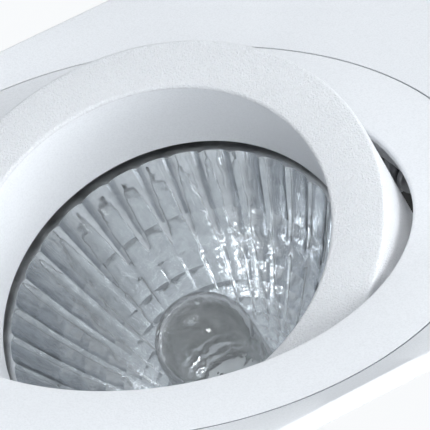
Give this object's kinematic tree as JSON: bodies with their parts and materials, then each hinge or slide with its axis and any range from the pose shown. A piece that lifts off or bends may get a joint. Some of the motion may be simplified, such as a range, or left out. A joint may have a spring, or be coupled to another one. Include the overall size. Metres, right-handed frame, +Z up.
{
  "type": "recessed ceiling spotlight",
  "caption": "Recessed ceiling spotlight: dished rectangular trim plate, flush swivel ring and a tilting lamp ring with a reflector lamp, held by sprung clips.",
  "frame": {"origin": "centre of the collar on the ceiling's underside, where the plate's back rests", "axes": "+Z up into the ceiling along the swivel axis, X along the plate's long side through both clips"},
  "size_m": [0.1328, 0.098, 0.0814],
  "materials": {
    "white_coat": "fine powder coat",
    "zinc_steel": "zinc plated",
    "bright_steel": "turned",
    "spring_steel": "drawn wire",
    "nylon": "satin",
    "pad_rubber": "matte",
    "reflector_glass": "metallised facets",
    "clear_glass": "polished",
    "quartz": "polished",
    "tungsten": "drawn wire",
    "ceramic": "unglazed",
    "nickel": "nickel plated",
    "brass": "stamped"
  },
  "bodies": {
    "plate": {"trim_plate": "white_coat", "bracket_screws": "bright_steel", "clip_bracket_left": "zinc_steel", "clip_bracket_right": "zinc_steel", "clip_pin_left": "bright_steel", "clip_pin_right": "bright_steel", "clip_spring_left": "spring_steel", "clip_spring_right": "spring_steel"},
    "clip_left": {"clip_arm_left": "zinc_steel", "clip_pad_left": "pad_rubber"},
    "clip_right": {"clip_arm_right": "zinc_steel", "clip_pad_right": "pad_rubber"},
    "swivel": {"swivel_ring": "white_coat", "friction_washer": "nylon", "snap_ring": "bright_steel", "pivot_screws": "bright_steel", "pivot_washers": "nylon"},
    "head": {"tilt_ring": "white_coat", "lamp_snap_wire": "spring_steel", "lamp_reflector": "reflector_glass", "lamp_front_glass": "clear_glass", "lamp_capsule": "quartz", "lamp_pinch": "quartz", "lamp_filament": "tungsten", "lamp_base": "ceramic", "lamp_pins": "nickel", "lamp_holder": "ceramic", "holder_contacts": "brass"}
  },
  "joints": [
    {"name": "swivel_turn", "type": "hinge", "parent": "plate", "child": "swivel", "pos_m": [0, 0, 0], "axis": [0, 0, 1], "range_deg": [-172, 172]},
    {"name": "head_tilt", "type": "hinge", "parent": "swivel", "child": "head", "pos_m": [0, 0, 0.0052], "axis": [0.4909, 0.8712, 0], "range_deg": [-0.5, 51.1]},
    {"name": "clip_fold_right", "type": "hinge", "parent": "plate", "child": "clip_right", "pos_m": [0.0424, 0, 0.014], "axis": [0, -1, 0], "range_deg": [0, 95], "stiffness_Nm_per_rad": 0.03, "springref_deg": -51.57, "deforming": ["clip_spring_right"]},
    {"name": "clip_fold_left", "type": "hinge", "parent": "plate", "child": "clip_left", "pos_m": [-0.0424, 0, 0.014], "axis": [0, 1, 0], "range_deg": [0, 95], "stiffness_Nm_per_rad": 0.03, "springref_deg": -51.57, "deforming": ["clip_spring_left"]}
  ]
}
